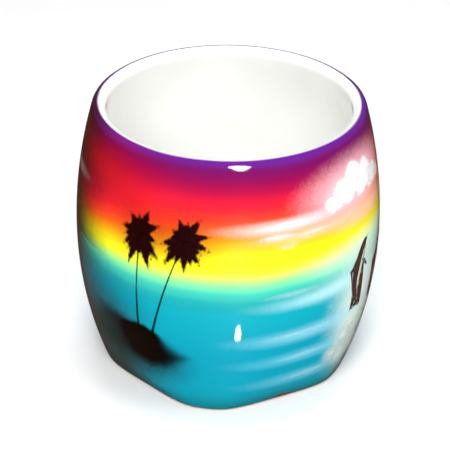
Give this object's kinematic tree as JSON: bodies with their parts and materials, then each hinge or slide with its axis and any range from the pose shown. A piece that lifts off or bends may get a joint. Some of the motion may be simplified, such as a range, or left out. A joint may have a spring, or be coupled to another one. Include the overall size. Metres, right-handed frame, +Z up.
{
  "type": "shot glass",
  "caption": "Barrel-shaped glazed ceramic shot glass on a softly five-sided foot, airbrushed with a tropical sunset, palm island and leaping dolphins",
  "frame": {"origin": "centre of the foot ring's contact plane, on the cup's axis", "axes": "+Z up along the cup's axis, -Y towards the front of the decoration, +X to the right as seen from the front"},
  "size_m": [0.0517, 0.0517, 0.048],
  "materials": {
    "fired_clay": "unglazed fired clay, matt, slightly sandy on the foot ring",
    "white_glaze": "glossy white glaze",
    "sunset_glaze": "airbrushed violet, red, orange and yellow bands under a clear gloss",
    "sea_glaze": "airbrushed mint to deep turquoise under a clear gloss",
    "black_enamel": "thin black-brown enamel, glossy",
    "trunk_enamel": "thin translucent dark enamel, glossy",
    "frond_enamel": "thin maroon-black enamel, glossy",
    "dolphin_enamel": "grey-brown enamel with a pale belly, glossy",
    "cloud_enamel": "thin sprayed white, glossy",
    "foam_enamel": "thin sprayed white foam, glossy"
  },
  "bodies": {
    "root": {"ceramic_body": "fired_clay", "inner_glaze": "white_glaze", "sunset_coat": "sunset_glaze", "sea_coat": "sea_glaze", "island": "black_enamel", "palm_left_trunk": "trunk_enamel", "palm_left_crown": "frond_enamel", "palm_right_trunk": "trunk_enamel", "palm_right_crown": "frond_enamel", "dolphin_front": "dolphin_enamel", "dolphin_rear": "dolphin_enamel", "cloud_bank": "cloud_enamel", "cloud_streaks": "cloud_enamel", "wave_streaks": "foam_enamel", "splash_foam": "foam_enamel"}
  },
  "joints": []
}
